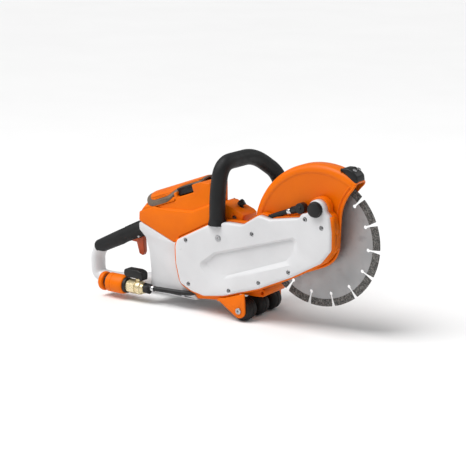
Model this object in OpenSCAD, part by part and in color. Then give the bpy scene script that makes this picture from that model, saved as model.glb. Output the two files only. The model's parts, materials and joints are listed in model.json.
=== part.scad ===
// Battery cut-off saw: belt-driven cutting disc on an arm, turning guard, water line and ground rollers.
// All lengths are millimetres. The modules work from the disc's centre; place() moves the whole saw
// so that its origin is the middle of its footprint, on the ground. +X is forward, +Y the operator's left.

/* [Cutting disc] */
// Outer diameter of the cutting disc
disc_d = 230; // [200:5:240]
// Thickness of the steel core
core_t = 2; // [1.6:0.1:2.4]
// Thickness of the diamond segments
segment_t = 2.8; // [2.4:0.1:3.6]
// Radial height of the diamond segments
segment_h = 13; // [8:1:16]
// Number of diamond segments
segment_count = 15; // [10:1:20]
// Width of the slots between segments
slot_w = 3.2; // [2:0.2:5]
// Bore that sits on the spindle
arbor_d = 22.2; // [20:0.1:25.4]

/* [Guard] */
// Radial space between the disc and the guard's rim
guard_gap = 11; // [9:1:20]
// Wall of the guard's rim
guard_wall = 3; // [2:0.5:4]
// Half of the guard's outside width
guard_half_w = 18; // [16:0.5:19]

/* [Arm and drive] */
// Distance of the motor's axis behind the spindle
motor_back = 186; // [176:1:220]
// Distance of the motor's axis below the spindle
motor_drop = 62; // [55:1:70]
// Outer radius of the motor
motor_r = 31; // [26:1:34]
// Length of the motor's stator
motor_len = 48; // [36:1:52]
// Radius of the pulley on the motor
drive_pulley_r = 13; // [11:1:16]
// Radius of the pulley on the spindle
spindle_pulley_r = 28; // [22:1:31]
// Width of the ribbed belt
belt_w = 10; // [8:1:12]
// Outside face of the belt cover, measured from the disc to the right
cover_face = 46; // [44:1:52]
// Depth of the belt cover
cover_depth = 12; // [10:1:14]
// Wall of the plastic shells
shell_wall = 3; // [2:0.5:4]

/* [Housing] */
// Width of the motor housing
housing_w = 100; // [96:1:116]
// Right side of the motor housing, measured from the disc
housing_right_y = 34; // [32:1:38]
// Length of the battery along its long side
battery_len = 116; // [100:1:120]
// Width of the battery
battery_w = 76; // [68:1:78]
// Height of the battery below its cap
battery_h = 96; // [80:1:100]
// Tilt of the battery towards the operator
battery_tilt = 20; // [15:1:24]

/* [Front handle] */
// Radius of the rubber sleeve on the front handle
handle_r = 13; // [11:0.5:15]
// Radius of the metal tube inside the sleeve
handle_core_r = 9; // [7:0.5:10]
// Height of the handle's bar above the spindle
handle_top = 118; // [105:1:135]
// Distance of the handle's bar behind the spindle
handle_back = 175; // [170:1:185]

/* [Rear handle] */
// Distance of the rear handle's end behind the spindle
rear_reach = 516; // [500:1:540]
// Half width of the rear handle
rear_half_w = 17; // [14:0.5:19]
// Half height of the rear grip
rear_half_h = 15; // [12:0.5:17]

/* [Water line] */
// Outer radius of the water hose
hose_r = 4.5; // [3.5:0.25:5]
// Outer radius of the hose coupling
coupling_r = 20; // [16:0.5:21]
// Bore of the hose coupling
coupling_bore_r = 8.5; // [6:0.25:10]

/* [Rollers] */
// Radius of the ground rollers
roller_r = 20; // [16:0.5:22]
// Width of each roller
roller_w = 28; // [20:1:32]
// Spacing of the rollers
roller_pitch = 40; // [36:1:44]
// Radius of the roller axle
roller_axle_r = 4; // [3:0.25:5]
// Height of the spindle above the ground
spindle_height = 157; // [146:1:170]

/* [Clearances] */
// Radial running clearance of shafts and hinges
running = 0.05; // [0.02:0.01:0.1]
// Gap between pieces that move past each other
moving_gap = 0.6; // [0.4:0.1:1]

/* [Hidden] */
$fn = 64;

// Orange, white and dark plastic, and the metals.
orange = [0.95, 0.42, 0.02];
white = [0.9, 0.9, 0.9];
dark = [0.1, 0.1, 0.11];
steel = [0.65, 0.66, 0.68];
brass = [0.78, 0.7, 0.45];
copper = [0.72, 0.4, 0.2];

disc_r = disc_d / 2;
guard_r = disc_r + guard_gap + guard_wall;
guard_plate_t = 2.5;
guard_mid = [5, 3];
motor = [-motor_back, -motor_drop];
housing_mid_y = -housing_right_y + housing_w / 2;
housing_left_y = -housing_right_y + housing_w;
cover_back = -cover_face + cover_depth;
frame_back = -guard_half_w - 2;
frame_plate_t = 4;
hub_r = 24;
bearing_r = 14;
bearing_w = 7.5;
bearing_bore = 6;
flange_r = 30;
pulley_y0 = cover_back - 4.5;
pulley_y1 = pulley_y0 + belt_w + 1.5;
ground_z = -spindle_height;
axle = [-134, ground_z + roller_r];
boss = [-105, -107];
roller_mid_y = 13;
bracket_t = 4;
bracket_gap = 1;
roller_span = 2 * roller_pitch + roller_w;
coupling_y = -housing_right_y - 11;
coupling_z = ground_z + coupling_r + 7;
knob = [19, 63];
knob_r = 13.5;
seam_front = [-283, -38];
seam_rear = [-362, -8];

// Overall box, from which the origin follows.
x_rear = -rear_reach;
x_front = disc_r;
handle_far_y = housing_left_y + 52;
y_right = coupling_y - coupling_r;
y_left = handle_far_y + handle_r;

module place() {
    translate([-(x_rear + x_front) / 2, -(y_right + y_left) / 2, spindle_height]) children();
}

// ---------- helpers ----------

// Extrudes an outline drawn in X and Z from y0 to y1.
module side_on(y0, y1) {
    translate([0, y1, 0]) rotate([90, 0, 0]) linear_extrude(y1 - y0) children();
}

// A cylinder along Y at a point given in X and Z.
module rod_y(at, r, y0, y1, r2 = -1) {
    translate([at[0], y0, at[1]]) rotate([-90, 0, 0]) cylinder(h = y1 - y0, r1 = r, r2 = r2 < 0 ? r : r2);
}

module ring_y(at, r, bore, y0, y1) {
    difference() {
        rod_y(at, r, y0, y1);
        rod_y(at, bore, y0 - 1, y1 + 1);
    }
}

// A cylinder along X.
module rod_x(x0, x1, y, z, r, sides = 64) {
    translate([x0, y, z]) rotate([0, 90, 0]) cylinder(h = x1 - x0, r = r, $fn = sides);
}

// Rounds both the outer and the inner corners of an outline.
module soft(r) {
    offset(r, $fn = 28) offset(-2 * r, $fn = 28) offset(r, $fn = 28) children();
}

function unit(v) = v / norm(v);
function flat_at(p, q, t) = p + (q - p) * t;
function directions(p) = [for (i = [0:len(p) - 1]) unit(p[min(i + 1, len(p) - 1)] - p[max(i - 1, 0)])];
function square_to(n, t) = unit(n - (n * t) * t);
function normals(t, n, i = 0) =
    let (m = square_to(n, t[i])) i == len(t) - 1 ? [m] : concat([m], normals(t, m, i + 1));

// Rounds the corners of a route: each corner becomes a curve that starts and ends at cut from it.
function corner_cut(p, i, cut) = min(cut, norm(p[i] - p[i - 1]) * 0.48, norm(p[i + 1] - p[i]) * 0.48);
function route(p, cut, steps) = concat([p[0]],
    [for (i = [1:len(p) - 2])
        let (c = corner_cut(p, i, cut),
             a = p[i] + unit(p[i - 1] - p[i]) * c,
             b = p[i] + unit(p[i + 1] - p[i]) * c)
        for (k = [0:steps]) let (t = k / steps) a * (1 - t) * (1 - t) + 2 * p[i] * t * (1 - t) + b * t * t],
    [p[len(p) - 1]]);

function ring_points(p, t, n, ra, rb, sides) =
    let (b = cross(t, n)) [for (k = [0:sides - 1]) p + ra * cos(360 * k / sides) * n + rb * sin(360 * k / sides) * b];

// Sweeps an ellipse along points; ra and rb are lists with the two radii at each point. bore > 0 leaves a hole.
module swept(points, ra, rb, sides = 12, start = [0, 1, 0], bore = 0) {
    t = directions(points);
    n = normals(t, start);
    last = len(points) - 1;
    outer = [for (i = [0:last]) each ring_points(points[i], t[i], n[i], ra[i], rb[i], sides)];
    inner = bore > 0 ? [for (i = [0:last]) each ring_points(points[i], t[i], n[i], bore, bore, sides)] : [];
    m = len(outer);
    function at(i, k, base = 0) = base + i * sides + k % sides;
    walls = [for (i = [0:last - 1], k = [0:sides - 1]) each [[at(i, k), at(i + 1, k), at(i + 1, k + 1)],
        [at(i, k), at(i + 1, k + 1), at(i, k + 1)]]];
    bores = bore > 0 ? [for (i = [0:last - 1], k = [0:sides - 1]) each
        [[at(i, k, m), at(i + 1, k + 1, m), at(i + 1, k, m)], [at(i, k, m), at(i, k + 1, m), at(i + 1, k + 1, m)]]] : [];
    solid_ends = [[for (k = [0:sides - 1]) k], [for (k = [sides - 1:-1:0]) at(last, k)]];
    ring_ends = [for (k = [0:sides - 1]) each [[at(0, k), at(0, k + 1), at(0, k + 1, m)],
        [at(0, k), at(0, k + 1, m), at(0, k, m)], [at(last, k), at(last, k + 1, m), at(last, k + 1)],
        [at(last, k), at(last, k, m), at(last, k + 1, m)]]];
    polyhedron(concat(outer, inner), concat(walls, bores, bore > 0 ? ring_ends : solid_ends));
}

function same(value, points) = [for (p = points) value];

// ---------- outlines, drawn in X and Z from the spindle ----------

// Front corners follow the spindle, rear corners follow the motor.
cover_points = [[-8, 45], [42, 53], [48, 26], [48, -4], [29, -28], [-29, -61],
    motor + [92, -29], motor + [19, -54], motor + [-25, -61], motor + [-52, -56], motor + [-76, -45],
    motor + [-85, -9], motor + [-86, 21], motor + [-82, 34], motor + [-7, 73], motor + [26, 79],
    motor + [58, 79], motor + [91, 100], motor + [114, 96]];
cover_holes = [[30, 33], [-33, -52], [-4, 52] - [0, 10], motor + [79, 66], motor + [93, -18], motor + [31, -42],
    motor + [-56, -43], motor + [-61, 36]];
recess_points = [[-18, 13], [-21, -30], motor + [22, -28], motor + [-8, -22], motor + [-33, -1], motor + [11, 31]];
tensioner = motor + [9, 49];

module cover_outline(grow = 0) {
    offset(grow) soft(7) {
        polygon(cover_points);
        translate(knob) circle(r = knob_r + 2.5);
    }
}

// The arm's frame stands out a little around the cover and drops to a belly that the hose runs into.
belly_points = [[-250, -108], [-244, -119], [-230, -133], [-182, -128], [-172, -112]];

module frame_outline(grow = 0) {
    cover_outline(2.5 + grow);
    offset(grow) polygon(belly_points);
}

// ---------- belt cover and arm ----------

module belt_cover() {
    color(white) difference() {
        side_on(-cover_face, cover_back) cover_outline();
        side_on(-cover_face + shell_wall + 1.5, cover_back + 1) difference() {
            cover_outline(-shell_wall);
            for (p = cover_holes) translate(p) circle(r = 6);
            translate(knob) circle(r = 9);
            translate(tensioner) circle(r = 8);
        }
        // Shallow panel in the outer face
        side_on(-cover_face - 1, -cover_face + 2) soft(4) polygon(recess_points);
        for (p = cover_holes) {
            rod_y(p, 2.2, -cover_face - 1, cover_back + 1);
            rod_y(p, 4.2, -cover_face - 1, -cover_face + 6);
        }
        rod_y(knob, 4 + moving_gap, -cover_face - 1, cover_back + 1);
        rod_y(knob, knob_r - 3, -cover_face - 1, -cover_face + 1);
        rod_y(tensioner, 5.2, -cover_face - 1, cover_back + 1);
        handle_socket(1);
        hose_space();
    }
}

// Round clearance for the front handle's lower end.
module handle_socket(extra) {
    translate([handle_points[0][0], handle_points[0][1], handle_points[0][2] - 4])
        cylinder(h = 60, r = handle_r + 2.5 + extra);
}

module cover_screws() {
    color(steel) for (p = cover_holes) difference() {
        union() {
            rod_y(p, 3.8, -cover_face + 2.5, -cover_face + 6);
            rod_y(p, 2, -cover_face + 6, cover_back + 8);
        }
        side_on(-cover_face + 2, -cover_face + 4.5) translate(p) circle(r = 1.8, $fn = 6);
    }
}

module belt_tensioner() {
    color(steel) difference() {
        union() {
            rod_y(tensioner, 5, -cover_face - 0.5, -cover_face + 3);
            rod_y(tensioner, 3, -cover_face + 3, frame_back - frame_plate_t);
        }
        side_on(-cover_face - 1, -cover_face + 2) translate(tensioner) circle(r = 2.2, $fn = 6);
    }
}

module arm_frame() {
    plate_y = frame_back - frame_plate_t;
    color(orange) difference() {
        union() {
            difference() {
                side_on(cover_back + 0.2, frame_back) frame_outline();
                side_on(cover_back - 1, plate_y) difference() {
                    cover_outline(-shell_wall);
                    for (p = cover_holes) translate(p) circle(r = 5.5);
                    translate(knob) circle(r = 9);
                }
            }
            // Hub that carries the spindle's bearings and centres the guard
            rod_y([0, 0], hub_r, plate_y, -8.5);
            // Seat of the motor's front bearing
            rod_y(motor, bearing_r + 4, plate_y, frame_back + 8);
        }
        for (p = cover_holes) rod_y(p, 2, cover_back - 1, cover_back + 9);
        rod_y([0, 0], bearing_r, plate_y - 1, -11);
        rod_y([0, 0], 8.5, plate_y - 1, 0);
        rod_y(motor, bearing_r, plate_y - 1, frame_back + 6);
        rod_y(motor, 8, plate_y, frame_back + 10);
        rod_y(knob, 4 + moving_gap, cover_back - 1, frame_back + 1);
        rod_y(tensioner, 3 + running, plate_y - 1, frame_back + 1);
        handle_socket(1);
        hose_space();
    }
}

// ---------- spindle and disc ----------

spindle_rear = pulley_y0 - 1.5;

// A sealed ball bearing: two races with a shield set in between them.
module bearing(at, y0) {
    race = (bearing_r + bearing_bore) / 2;
    difference() {
        rod_y(at, bearing_r, y0, y0 + bearing_w);
        rod_y(at, bearing_bore + running, y0 - 1, y0 + bearing_w + 1);
        ring_y(at, race + 2.2, race - 2.2, y0 - 1, y0 + 0.8);
        ring_y(at, race + 2.2, race - 2.2, y0 + bearing_w - 0.8, y0 + bearing_w + 1);
    }
}

module spindle_bearings() {
    color(steel) {
        bearing([0, 0], -11 - bearing_w);
        bearing([0, 0], -11.6 - 2 * bearing_w);
    }
}

module spindle() {
    color(steel) difference() {
        union() {
            rod_y([0, 0], bearing_bore, spindle_rear, segment_t / 2 + 3);
            rod_y([0, 0], 8, -10.5, -7);
        }
        rod_y([0, 0], 3.4, -14, segment_t / 2 + 4);
    }
}

module ribbed_pulley(at, r) {
    difference() {
        union() {
            rod_y(at, r, pulley_y0, pulley_y1);
            rod_y(at, bearing_bore + 4, pulley_y0 - 1, pulley_y1);
        }
        rod_y(at, bearing_bore + 0.01, pulley_y0 - 2, pulley_y1 + 1);
        for (k = [0:3]) translate([at[0], pulley_y0 + 2 + k * 2.4, at[1]]) rotate([-90, 0, 0])
            rotate_extrude() translate([r, 0]) polygon([[-1.2, 0.9], [1, 0], [1, 1.8]]);
    }
}

module spindle_pulley() {
    color(steel) ribbed_pulley([0, 0], spindle_pulley_r);
}

module inner_flange() {
    color(steel) difference() {
        union() {
            rod_y([0, 0], flange_r, -7, -core_t / 2);
            rod_y([0, 0], arbor_d / 2 - running, -core_t / 2, core_t / 2);
        }
        rod_y([0, 0], bearing_bore + 0.01, -8, 4);
        ring_y([0, 0], flange_r - 5, arbor_d / 2 + 4, -2, 0);
    }
}

module slot_cut(k) {
    a = 360 * k / segment_count + segment_start;
    rotate([0, -a, 0]) {
        translate([disc_r - segment_h - 8, -10, -slot_w / 2]) cube([segment_h + 20, 20, slot_w]);
        rod_y([disc_r - segment_h - 9, 0], slot_w, -10, 10);
    }
}

segment_start = 45;

module cutting_disc_core() {
    color(steel) difference() {
        rod_y([0, 0], disc_r - segment_h, -core_t / 2, core_t / 2);
        rod_y([0, 0], arbor_d / 2, -5, 5);
        for (k = [0:segment_count - 1]) slot_cut(k);
    }
}

module diamond_segments() {
    color([0.3, 0.3, 0.3]) difference() {
        ring_y([0, 0], disc_r, disc_r - segment_h, -segment_t / 2, segment_t / 2);
        for (k = [0:segment_count - 1]) slot_cut(k);
    }
}

module outer_flange() {
    color(steel) difference() {
        union() {
            rod_y([0, 0], flange_r, core_t / 2, 4);
            rod_y([0, 0], flange_r - 6, 4, 6.5);
        }
        rod_y([0, 0], bearing_bore + 0.01, core_t / 2 - 1, segment_t / 2 + 3.2);
        rod_y([0, 0], 3.4, 0, 8);
        ring_y([0, 0], flange_r - 5, arbor_d / 2 + 4, core_t / 2 - 1, core_t / 2 + 1);
    }
}

module arbor_bolt() {
    color(steel) difference() {
        union() {
            rod_y([0, 0], 3.35, -12, 7);
            rod_y([0, 0], 9, 6.5, 8);
            side_on(8, 14) circle(r = 7.5, $fn = 6);
        }
        side_on(11, 15) circle(r = 3, $fn = 6);
    }
}

// ---------- guard ----------

// Front edge of the guard's plates, from the tip down to the arm.
guard_edge = [[74.5, 101], [58, 82], [49, 58], [47, 19], [46, -9], [38, -26], [24, -37], [-29, -61], [-94, -92]];

module guard_outline(r) {
    intersection() {
        translate(guard_mid) circle(r = r, $fn = 128);
        soft(5) polygon(concat([[guard_r * 1.1, guard_r * 1.3]], [guard_edge[0] * 1.25], guard_edge,
            [[-guard_r, -guard_r * 0.9], [-guard_r * 1.3, -guard_r * 0.7], [-guard_r * 1.3, guard_r * 1.3]]));
    }
}

// The left plate stops above the arbor bolt, so that the disc can be changed.
module guard_left_outline(r) {
    difference() {
        guard_outline(r);
        translate([-guard_r * 1.5, -guard_r * 1.6]) square([guard_r * 3, guard_r * 1.6 + 8]);
        circle(r = flange_r + 18);
    }
}

module guard_shell() {
    color(orange) difference() {
        union() {
            side_on(-guard_half_w, -guard_half_w + guard_plate_t) guard_outline(guard_r - 4);
            side_on(guard_half_w - guard_plate_t, guard_half_w) guard_left_outline(guard_r - 4);
            side_on(-guard_half_w + 1.5, guard_half_w - 1.5) difference() {
                guard_outline(guard_r);
                translate(guard_mid) circle(r = guard_r - guard_wall, $fn = 128);
            }
            side_on(-guard_half_w + 0.7, guard_half_w - 0.7) difference() {
                guard_outline(guard_r - 1.6);
                translate(guard_mid) circle(r = guard_r - guard_wall - 2.4, $fn = 128);
            }
        }
        rod_y([0, 0], hub_r + running, -guard_half_w - 1, 0);
        for (y = [-7, 7]) grip_screw_place(y) cylinder(h = 40, r = 2 + running, center = true);
    }
}

// Points at a radius and an angle on the guard.
function on_guard(r, a) = guard_mid + [r * cos(a), r * sin(a)];
grip_from = 54;
grip_to = 72;

module guard_grip() {
    color(dark) difference() {
        side_on(-guard_half_w + 5, guard_half_w - 5) soft(1.5) polygon(concat(
            [for (a = [grip_from:3:grip_to]) on_guard(guard_r + 0.1, a)],
            [on_guard(guard_r + 3, grip_to + 1), on_guard(guard_r + 7, grip_from + 11),
                on_guard(guard_r + 9.5, grip_from + 4), on_guard(guard_r + 7, grip_from - 0.5)]));
        for (y = [-7, 7]) grip_screw_place(y) cylinder(h = 40, r = 2 + running, center = true);
    }
}

module grip_screw_place(y) {
    p = on_guard(guard_r + 6, grip_from + 9);
    translate([p[0], y, p[1]]) rotate([0, 90 - grip_from - 9, 0]) children();
}

module guard_grip_screws() {
    color(steel) for (y = [-7, 7]) grip_screw_place(y) {
        translate([0, 0, 3.6]) cylinder(h = 2, r = 3.4);
        translate([0, 0, -8.4]) cylinder(h = 12.2, r = 2);
    }
}

// One nozzle on each plate wets the disc.
nozzle_at = on_guard(disc_r * 0.62, 62);

module guard_spray_nozzles() {
    color(dark) {
        rod_y(nozzle_at, 5, -guard_half_w + guard_plate_t, -guard_half_w + guard_plate_t + 6);
        rod_y(nozzle_at, 5, guard_half_w - guard_plate_t - 6, guard_half_w - guard_plate_t);
    }
}

module guard_clamp_knob() {
    color(dark) {
        rod_y(knob, knob_r - 1.5, -cover_face - 8, -cover_face - 3.5);
        rod_y(knob, knob_r, -cover_face - 3.5, -cover_face - 0.5);
        rod_y(knob, 4, -cover_face - 0.5, frame_back - 0.4);
    }
}

// ---------- motor and belt ----------

motor_y0 = frame_back + 8.4;
motor_y1 = motor_y0 + motor_len;
motor_end_y = motor_y1 + bearing_w + 2;

module motor_stator() {
    color(copper) difference() {
        rod_y(motor, motor_r, motor_y0, motor_y1 + 4);
        rod_y(motor, 19 + moving_gap, motor_y0 + 3, motor_y1 - 3);
        rod_y(motor, 9, motor_y0 - 1, motor_y1 + 5);
        rod_y(motor, bearing_r, motor_y1 - 4, motor_y1 + 5);
        for (k = [0:11]) rotate_about(motor, 30 * k) rod_y(motor + [motor_r, 0], 2, motor_y0 - 1, motor_y1 - 1);
    }
}

// Turns about an axis along Y.
module rotate_about(at, a) {
    translate([at[0], 0, at[1]]) rotate([0, a, 0]) translate([-at[0], 0, -at[1]]) children();
}

module motor_bearings() {
    color(steel) {
        bearing(motor, frame_back + 6 - bearing_w);
        bearing(motor, motor_y1 + 4 - bearing_w);
    }
}

module motor_rotor() {
    color(steel) {
        rod_y(motor, 19, motor_y0 + 4, motor_y1 - 5);
        rod_y(motor, bearing_bore, pulley_y0 - 1.5, motor_y1 + 14);
    }
}

module motor_pulley() {
    color(steel) ribbed_pulley(motor, drive_pulley_r);
}

module motor_fan() {
    color(dark) difference() {
        union() {
            rod_y(motor, motor_r - 3, motor_y1 + 5.5, motor_y1 + 7);
            for (k = [0:10]) rotate_about(motor, 360 / 11 * k)
                translate([motor[0] + 10, motor_y1 + 6.5, motor[1]]) cube([motor_r - 14, 6, 1.4]);
            rod_y(motor, 9, motor_y1 + 5.5, motor_y1 + 12.5);
        }
        rod_y(motor, bearing_bore + 0.01, motor_y1, motor_y1 + 15);
    }
}

belt_t = 2.4;

module belt_loop(grow) {
    hull() {
        circle(r = spindle_pulley_r + grow, $fn = 96);
        translate(motor) circle(r = drive_pulley_r + grow, $fn = 64);
    }
}

module drive_belt() {
    color(dark) side_on(pulley_y0 + 0.75, pulley_y0 + 0.75 + belt_w) difference() {
        belt_loop(belt_t + 0.3);
        belt_loop(0.3);
    }
}

// ---------- housing ----------

// White lower housing, below the seam.
housing_points = [seam_rear, [-361, -24], [-347, -36], [-339, -60], [-335, -100], [-336, -126], [-326, -137],
    [motor[0] - 50, -137], [motor[0] - 16, -127], [motor[0] + 38, -111], [motor[0] + 40, -2],
    [motor[0] - 10, -2], seam_front];
top_points = [[seam_front[0], seam_front[1] + 0.4], [seam_rear[0], seam_rear[1] + 0.4], [-361, 12], [-352, 34],
    [-325, 39], [-297, 45], [-262, 65], [-226, 78], [-206, 78], [-197, 44], [-200, 16], [motor[0] + 40, 4],
    [motor[0] + 40, -1.6], [motor[0] - 10, -1.6]];
// Above this crease the top shell is narrower on both sides.
crease_points = [[-400, 24], [-294, 21], [-244, 23], [-197, 43], [-180, 60], [-180, 120], [-400, 120]];
battery_mid = [-295.5, 44.5];
battery_mid_y = frame_back + 1 + battery_w / 2;
well_gap = 0.8;
crease_step = 5;

module battery_frame() {
    translate([battery_mid[0], battery_mid_y, battery_mid[1]]) rotate([0, -battery_tilt, 0]) children();
}

module battery_block(grow, up) {
    battery_frame() translate([-battery_len / 2 - grow, -battery_w / 2 - grow, -battery_h - grow])
        cube([battery_len + 2 * grow, battery_w + 2 * grow, battery_h + grow + up]);
}

// What the housing leaves free: the arm's frame, the motor, the battery and the rear handle's root.
module housing_inside() {
    side_on(-housing_right_y + shell_wall, housing_left_y - shell_wall) offset(-shell_wall) polygon(housing_points);
    side_on(-60, frame_back + 0.4) frame_outline(0.7);
    rod_y(motor, motor_r + 1, frame_back, motor_y1 + 4);
    battery_block(well_gap, 60);
}

module housing_half(y0, y1) {
    difference() {
        side_on(y0, y1) soft(4) polygon(housing_points);
        housing_inside();
        handle_socket(1);
        handle_foot_hole();
        hose_space();
        for (p = housing_screw_points) rod_y(p, 2.2, -60, 120);
    }
}

housing_screw_points = [[-329, -130], [-262, -131]];

module housing_right() {
    color(white) housing_half(-housing_right_y, housing_mid_y - 0.05);
}

module housing_left() {
    color(white) difference() {
        housing_half(housing_mid_y + 0.05, housing_left_y);
        // Air outlet behind the fan
        for (k = [-3:3]) translate([motor[0] + k * 8 - 2, housing_left_y - 5, motor[1] - 22])
            cube([4, 10, 44]);
    }
}

module housing_screws() {
    color(steel) for (p = housing_screw_points) {
        rod_y(p, 2, -housing_right_y + 1, housing_left_y - 1);
        rod_y(p, 4, -housing_right_y - 1.5, -housing_right_y);
    }
    // The screw that holds the front handle's foot
    color(steel) rod_y([-168, -66], 4, housing_left_y, housing_left_y + 2.5);
}

module control_board() {
    color([0.1, 0.35, 0.2]) {
        translate([-324, housing_mid_y - 30, -130]) cube([54, 60, 1.6]);
        for (x = [-320, -303, -286]) translate([x, housing_mid_y - 20, -128.4]) cube([12, 18, 6]);
        for (y = [6, 16]) translate([-310, housing_mid_y + y, -128.4]) cylinder(h = 14, r = 4.5);
        for (x = [-318, -277], y = [-24, 24]) translate([x, housing_mid_y + y, -134]) cylinder(h = 4, r = 3);
    }
}

module battery_terminals() {
    color(copper) battery_frame() for (y = [-24, -8, 8, 24])
        translate([-10, y - 1, -battery_h - well_gap - 12]) cube([20, 2, 11.5]);
}

module top_outline() {
    soft(5) polygon(top_points);
}

module top_shell() {
    color(orange) difference() {
        union() {
            side_on(-housing_right_y, housing_left_y) top_outline();
            // Ears that hold the filter lid's hinge pin
            for (y = [filter_y[0] - 3.2, filter_y[1] + moving_gap]) side_on(y, y + 2.6) hull() {
                translate(lid_hinge) circle(r = 3.4);
                translate(lid_hinge - [9, 4]) circle(r = 3.4);
            }
        }
        rod_y(lid_hinge, lid_pin_r + running, -60, 100);
        side_on(-housing_right_y + shell_wall, housing_left_y - shell_wall) difference() {
            offset(-shell_wall) top_outline();
            translate([-420, 5]) square([800, 200]);
        }
        side_on(-60, frame_back + 0.4) frame_outline(0.7);
        battery_block(well_gap, 80);
        for (y = [-housing_right_y - 1, housing_left_y - crease_step]) side_on(y, y + crease_step + 1)
            polygon(crease_points);
        // The far front corner is cut back, clear of the front handle's hoop
        translate([0, 0, 30]) linear_extrude(60) polygon([[-237, housing_left_y + 1],
            [-206, housing_left_y - 41], [-192, housing_left_y - 60], [-180, housing_left_y - 60],
            [-180, housing_left_y + 1]]);
        // Notches beside the battery, which hold the locks
        for (s = [-1, 1]) lock_space(s);
        rod_y(motor, motor_r + 1, frame_back, motor_y1 + 4);
        handle_socket(1);
    }
}

// ---------- air filter ----------

filter_x = [-194.5, -143];
filter_points = [[filter_x[0], 17], [filter_x[0], 44], [filter_x[0] + 10, 44], [filter_x[1] - 6, 31],
    [filter_x[1], 26], [filter_x[1] - 2, 14], [filter_x[1] - 16, 5], [filter_x[0] + 30, 8]];
filter_y = [-18.8, 25];
latch_at = [-163, 6];
lid_hinge = [filter_x[0] + 3.5, 41];
lid_pin_r = 1.5;

module filter_cover() {
    color(orange) {
        difference() {
            side_on(filter_y[0], filter_y[1]) soft(2.5) polygon(filter_points);
            side_on(filter_y[0] + 2.5, filter_y[1] - 2.5) offset(-2.5) polygon(filter_points);
            // Open below, so that the lid lifts clear of the filter
            translate([filter_x[0] + 2.5, filter_y[0] + 6, 0])
                cube([filter_x[1] - filter_x[0] - 7.5, filter_y[1] - filter_y[0] - 12, 20]);
            translate([latch_at[0], latch_at[1], 20]) cylinder(h = 60, r = 3.5 + running);
            side_on(-60, 60) offset(0.4) top_outline();
        }
        // Hinge pin, whose ends turn in two ears of the top shell
        rod_y(lid_hinge, lid_pin_r, filter_y[0] - 3, filter_y[1] + 3);
    }
}

module air_filter() {
    color([0.75, 0.75, 0.7]) translate([filter_x[0] + 17, filter_y[0] + 8, 15])
        cube([24, filter_y[1] - filter_y[0] - 16, 12]);
}

// A quarter-turn latch that stands on the filter cover.
module filter_latch() {
    color(dark) translate([latch_at[0], latch_at[1], 0]) {
        translate([0, 0, 28.5]) cylinder(h = 14, r = 3.5);
        translate([0, 0, 40]) cylinder(h = 2.6, r = 7.5);
        translate([0, 0, 42]) rotate([90, 0, 0]) translate([0, 0, -2.5]) linear_extrude(5)
            polygon([[-7, 0], [7, 0], [4, 5.5], [0, 7.5], [-6, 2.5]]);
    }
}

// ---------- battery ----------

crown_r = 64;
crown_h = 16;

module battery_case() {
    color(dark) difference() {
        battery_block(0, 0);
        for (y = [-24, -8, 8, 24]) battery_frame() translate([-12, y - 1.5, -battery_h - 1]) cube([24, 3, 8]);
        battery_frame() translate([-battery_len / 2 + 3, -battery_w / 2 + 3, -battery_h + 9])
            cube([battery_len - 6, battery_w - 6, battery_h - 24]);
    }
}

cell_r = 10.4;

module battery_cells() {
    columns = floor((battery_len - 8) / (2 * cell_r + 1));
    color([0.2, 0.45, 0.7]) battery_frame() for (i = [0:columns - 1], k = [0:2])
        translate([(i - (columns - 1) / 2) * (2 * cell_r + 1), -(battery_w - 11) / 2, -battery_h + 21 + k * (2 * cell_r + 0.6)])
            rotate([-90, 0, 0]) cylinder(h = battery_w - 11, r = cell_r - 0.1);
}

// Outline of the battery's top, seen along its own axis: wide at the rear, narrow between the locks.
module battery_top_outline(inset) {
    l = battery_len / 2 - inset;
    w = battery_w / 2 - inset;
    soft(5) polygon([[-l, -w * 0.5], [-l + 16, -w], [0, -w], [14, -w + 12], [l, -w + 12],
        [l, w - 12], [14, w - 12], [0, w], [-l + 16, w], [-l, w * 0.5]]);
}

// The top is crowned from side to side, and the crown falls a little towards the disc.
module battery_crown(r) {
    battery_frame() translate([-battery_len / 2, 0, crown_h - crown_r]) rotate([0, 93, 0])
        translate([0, 0, -20]) cylinder(h = battery_len + 60, r = r, $fn = 240);
}

module battery_rim() {
    color(dark) intersection() {
        battery_frame() translate([0, 0, 0.1]) linear_extrude(20) difference() {
            battery_top_outline(0);
            battery_top_outline(5);
        }
        battery_crown(crown_r);
    }
}

module battery_cap() {
    color(orange) intersection() {
        battery_frame() translate([0, 0, 0.1]) linear_extrude(24) battery_top_outline(5.1);
        battery_crown(crown_r + 1.2);
    }
}

// A lock lever on each side of the battery, in a notch of the top shell.
lock_x = [18, 54];
lock_w = 2.6;
lock_pin_r = 1.5;

module lock_space(s) {
    battery_frame() {
        translate([lock_x[0] - moving_gap, s * battery_w / 2 - (s > 0 ? 1 : 14), -6])
            cube([lock_x[1] - lock_x[0] + 2 * moving_gap, 15, 85]);
        translate([lock_x[0] - 3, s * (battery_w / 2 + well_gap + lock_w / 2), -3]) rotate([0, 90, 0])
            cylinder(h = lock_x[1] - lock_x[0] + 6, r = lock_pin_r + running);
    }
}

module battery_lock(s) {
    y = s * (battery_w / 2 + well_gap + lock_w / 2);
    battery_frame() {
        translate([lock_x[0], y - lock_w / 2, -3]) cube([lock_x[1] - lock_x[0], lock_w, 12]);
        translate([lock_x[0] - 2.5, y, -3]) rotate([0, 90, 0]) cylinder(h = lock_x[1] - lock_x[0] + 5, r = lock_pin_r);
        translate([lock_x[0], y + (s > 0 ? 0 : -3.4), 6.5]) cube([lock_x[1] - lock_x[0], 3.4, 2.5]);
    }
}

module battery_lock_right() {
    color(dark) battery_lock(-1);
}

module battery_lock_left() {
    color(dark) battery_lock(1);
}

// ---------- rear handle ----------

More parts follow.
